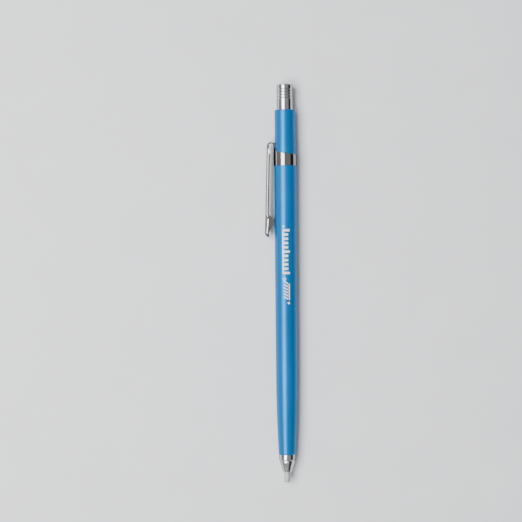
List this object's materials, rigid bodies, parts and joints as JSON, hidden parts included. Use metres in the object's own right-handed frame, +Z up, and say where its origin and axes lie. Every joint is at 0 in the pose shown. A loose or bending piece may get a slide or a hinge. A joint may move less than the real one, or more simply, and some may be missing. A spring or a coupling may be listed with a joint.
{
  "type": "clutch marker for metal",
  "caption": "Slim metal holder with a pocket clip, a push button and a jaw chuck that grips a silver marking lead for laying out metal.",
  "frame": {"origin": "under the middle of the marker's box, on the flat surface that it lies on", "axes": "+Y from the tip of the lead to the push button, +Z up from the surface that the marker lies on, the pocket clip stands out towards -X"},
  "size_m": [0.0144, 0.1762, 0.0103],
  "materials": {
    "blue_enamel": "gloss",
    "chrome_plate": "polished",
    "clip_chrome": "polished",
    "satin_nickel": "satin",
    "silver_lead": "matte",
    "turned_brass": "turned",
    "drawn_brass": "drawn",
    "bright_steel": "satin",
    "spring_steel": "satin"
  },
  "bodies": {
    "barrel": {"front_barrel": "blue_enamel", "rear_barrel": "blue_enamel", "nose_collar": "chrome_plate", "clip_band": "clip_chrome", "joining_bush": "turned_brass", "spring_seat": "bright_steel", "return_spring": "spring_steel"},
    "plunger": {"push_button": "chrome_plate", "button_insert": "turned_brass", "feed_tube": "drawn_brass", "chuck_body": "satin_nickel", "spring_collar": "turned_brass", "snap_ring": "spring_steel"},
    "lead": {"lead": "silver_lead"},
    "clip_arm": {"clip_arm": "clip_chrome"},
    "jaw_1": {"jaw_1": "satin_nickel"},
    "jaw_2": {"jaw_2": "satin_nickel"},
    "jaw_3": {"jaw_3": "satin_nickel"},
    "jaw_4": {"jaw_4": "satin_nickel"}
  },
  "joints": [
    {"name": "plunger_slide", "type": "slide", "parent": "barrel", "child": "plunger", "axis": [0, -1, 0], "range_m": [0, 0.003], "stiffness_N_per_m": 1800, "springref_m": -0.002, "deforming": ["return_spring"]},
    {"name": "jaw_1_flex", "type": "hinge", "parent": "plunger", "child": "jaw_1", "pos_m": [0.00398, -0.06105, 0.00593], "axis": [-0.3746, 0, 0.9272], "range_deg": [0, 2.02]},
    {"name": "jaw_2_flex", "type": "hinge", "parent": "plunger", "child": "jaw_2", "pos_m": [0.00282, -0.06105, 0.00319], "axis": [0.9272, 0, 0.3746], "range_deg": [0, 2.02]},
    {"name": "jaw_3_flex", "type": "hinge", "parent": "plunger", "child": "jaw_3", "pos_m": [0.00008, -0.06105, 0.00435], "axis": [0.3746, 0, -0.9272], "range_deg": [0, 2.02]},
    {"name": "jaw_4_flex", "type": "hinge", "parent": "plunger", "child": "jaw_4", "pos_m": [0.00124, -0.06105, 0.00709], "axis": [-0.9272, 0, -0.3746], "range_deg": [0, 2.02]},
    {"name": "lead_slide", "type": "slide", "parent": "plunger", "child": "lead", "axis": [0, -1, 0], "range_m": [-0.05, 0.1]},
    {"name": "clip_flex", "type": "hinge", "parent": "barrel", "child": "clip_arm", "pos_m": [-0.00271, 0.06095, 0.00514], "axis": [0, 0, -1], "range_deg": [0, 5], "stiffness_Nm_per_rad": 2, "springref_deg": -1.72}
  ],
  "couplings": [
    {"joint": "jaw_1_flex", "follows": "plunger_slide", "rad_per_m": 11.636},
    {"joint": "jaw_2_flex", "follows": "plunger_slide", "rad_per_m": 11.636},
    {"joint": "jaw_3_flex", "follows": "plunger_slide", "rad_per_m": 11.636},
    {"joint": "jaw_4_flex", "follows": "plunger_slide", "rad_per_m": 11.636}
  ]
}
